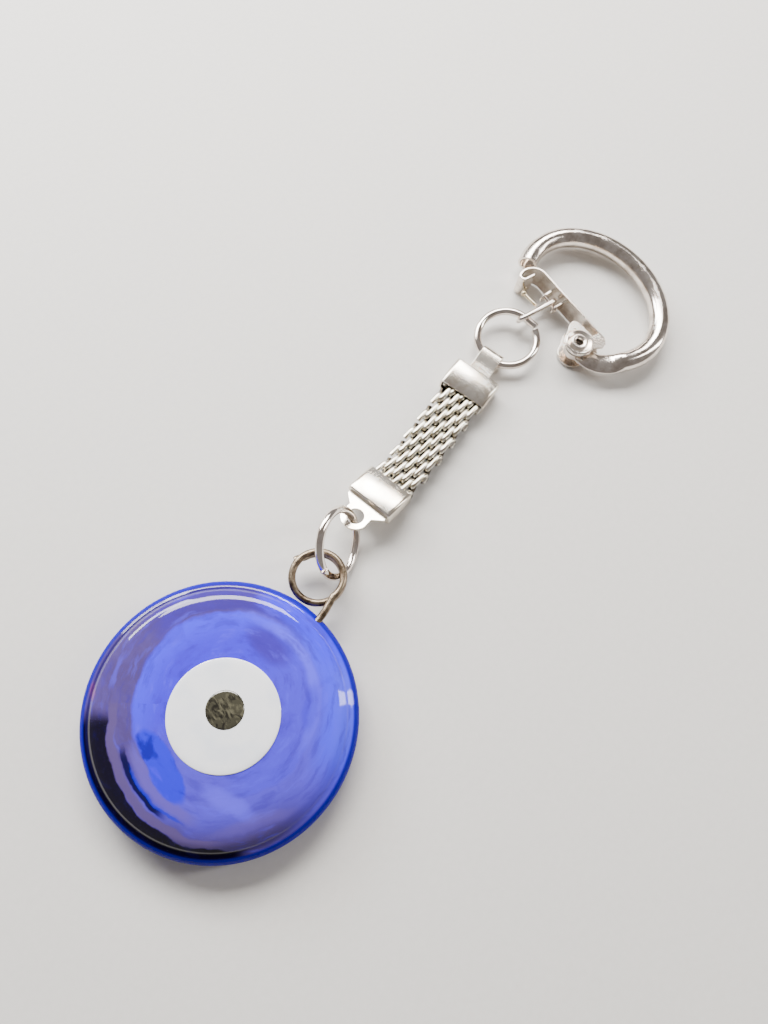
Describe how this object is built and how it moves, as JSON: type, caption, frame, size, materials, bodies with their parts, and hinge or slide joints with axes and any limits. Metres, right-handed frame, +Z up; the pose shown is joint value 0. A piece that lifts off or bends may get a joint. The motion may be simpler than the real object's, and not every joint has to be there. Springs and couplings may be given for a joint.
{
  "type": "evil eye key chain",
  "caption": "Evil eye key chain: a domed cobalt glass disc with a white eye, a wire eyelet, jump rings, two folded clamps, a mesh strap and a snap key ring.",
  "frame": {"origin": "centre of the glass disc's flat back, where it lies on a table", "axes": "+Z up out of the table, through the eye; +X along the key chain, towards the key ring; +Y completes a right-handed frame"},
  "size_m": [0.1442, 0.065, 0.0118],
  "materials": {
    "cobalt_glass": "polished cobalt blue glass",
    "milky_glass": "cloudy light blue glass fused into the disc",
    "white_glass": "opaque white glass",
    "black_glass": "opaque near-black glass",
    "bronze_wire": "dull oxidised wire",
    "nickel_plate": "bright nickel plate, lightly worn",
    "mesh_wire": "bright wire with a warm cast",
    "spring_steel": "plain spring wire",
    "brass_wire": "worn plated brass wire"
  },
  "bodies": {
    "bead": {"glass_disc": "cobalt_glass", "milky_layer": "milky_glass", "white_eye": "white_glass", "pupil": "black_glass", "eyelet_wire": "bronze_wire"},
    "lower_ring": {"lower_jump_ring": "nickel_plate"},
    "lower_clamp": {"lower_clamp": "nickel_plate", "strap_row_00": "mesh_wire"},
    "strap_01": {"strap_row_01": "mesh_wire"},
    "strap_02": {"strap_row_02": "mesh_wire"},
    "strap_03": {"strap_row_03": "mesh_wire"},
    "strap_04": {"strap_row_04": "mesh_wire"},
    "strap_05": {"strap_row_05": "mesh_wire"},
    "strap_06": {"strap_row_06": "mesh_wire"},
    "strap_07": {"strap_row_07": "mesh_wire"},
    "strap_08": {"strap_row_08": "mesh_wire"},
    "strap_09": {"strap_row_09": "mesh_wire"},
    "strap_10": {"strap_row_10": "mesh_wire"},
    "upper_clamp": {"upper_clamp": "nickel_plate", "strap_row_11": "mesh_wire"},
    "upper_ring": {"upper_jump_ring": "nickel_plate"},
    "link": {"connector_link": "nickel_plate"},
    "gate": {"gate": "nickel_plate", "link_pin": "nickel_plate", "keeper_wire": "brass_wire", "hinge_rivet": "nickel_plate", "gate_spring": "spring_steel"},
    "shackle": {"shackle": "nickel_plate"}
  },
  "joints": [
    {"name": "ring_in_eyelet", "type": "hinge", "parent": "bead", "child": "lower_ring", "pos_m": [0.0303, 0.01133, 0.00458], "axis": [-0.3837, 0.9235, 0], "range_deg": [-20, 0]},
    {"name": "tab_on_ring", "type": "hinge", "parent": "lower_ring", "child": "lower_clamp", "pos_m": [0.0376, 0.01466, 0.00402], "axis": [0.0229, 0.5914, 0.806], "range_deg": [-12, 12]},
    {"name": "strap_bend_01", "type": "hinge", "parent": "lower_clamp", "child": "strap_01", "pos_m": [0.04789, 0.01648, 0.00255], "axis": [-0.2208, 0.9599, -0.1727], "range_deg": [-12, 12]},
    {"name": "strap_bend_02", "type": "hinge", "parent": "strap_01", "child": "strap_02", "pos_m": [0.05011, 0.01695, 0.00231], "axis": [-0.2462, 0.9566, -0.1561], "range_deg": [-12, 12]},
    {"name": "strap_bend_03", "type": "hinge", "parent": "strap_02", "child": "strap_03", "pos_m": [0.05233, 0.01749, 0.00215], "axis": [-0.2726, 0.952, -0.1391], "range_deg": [-12, 12]},
    {"name": "strap_bend_04", "type": "hinge", "parent": "strap_03", "child": "strap_04", "pos_m": [0.05454, 0.01811, 0.00207], "axis": [-0.3001, 0.9461, -0.1219], "range_deg": [-12, 12]},
    {"name": "strap_bend_05", "type": "hinge", "parent": "strap_04", "child": "strap_05", "pos_m": [0.05672, 0.0188, 0.00207], "axis": [-0.3007, 0.948, -0.1045], "range_deg": [-12, 12]},
    {"name": "strap_bend_06", "type": "hinge", "parent": "strap_05", "child": "strap_06", "pos_m": [0.0589, 0.0195, 0.00207], "axis": [-0.3012, 0.9496, -0.0872], "range_deg": [-12, 12]},
    {"name": "strap_bend_07", "type": "hinge", "parent": "strap_06", "child": "strap_07", "pos_m": [0.06109, 0.02019, 0.00207], "axis": [-0.3016, 0.9509, -0.0698], "range_deg": [-12, 12]},
    {"name": "strap_bend_08", "type": "hinge", "parent": "strap_07", "child": "strap_08", "pos_m": [0.06327, 0.02088, 0.00207], "axis": [-0.302, 0.9519, -0.0523], "range_deg": [-12, 12]},
    {"name": "strap_bend_09", "type": "hinge", "parent": "strap_08", "child": "strap_09", "pos_m": [0.06545, 0.02157, 0.00207], "axis": [-0.3022, 0.9526, -0.0349], "range_deg": [-12, 12]},
    {"name": "strap_bend_10", "type": "hinge", "parent": "strap_09", "child": "strap_10", "pos_m": [0.06763, 0.02227, 0.00207], "axis": [-0.3023, 0.953, -0.0175], "range_deg": [-12, 12]},
    {"name": "strap_bend_11", "type": "hinge", "parent": "strap_10", "child": "upper_clamp", "pos_m": [0.06982, 0.02296, 0.00207], "axis": [-0.3024, 0.9532, 0], "range_deg": [-12, 12]},
    {"name": "ring_in_tongue", "type": "hinge", "parent": "upper_clamp", "child": "upper_ring", "pos_m": [0.08013, 0.02623, 0.002], "axis": [-0.2079, 0.9781, 0], "range_deg": [-25, 25]},
    {"name": "link_on_ring", "type": "hinge", "parent": "upper_ring", "child": "link", "pos_m": [0.09169, 0.02922, 0.00296], "axis": [-0.2921, 0.9564, -0.007], "range_deg": [-25, 25]},
    {"name": "gate_on_link", "type": "hinge", "parent": "link", "child": "gate", "pos_m": [0.09835, 0.0288, 0.0029], "axis": [0, 0, 1], "range_deg": [-12, 12]},
    {"name": "shackle_snap", "type": "hinge", "parent": "gate", "child": "shackle", "pos_m": [0.0958, 0.0179, 0.0029], "axis": [0, 0, 1], "range_deg": [0, 32], "stiffness_Nm_per_rad": 0.02, "springref_deg": -20.05}
  ]
}
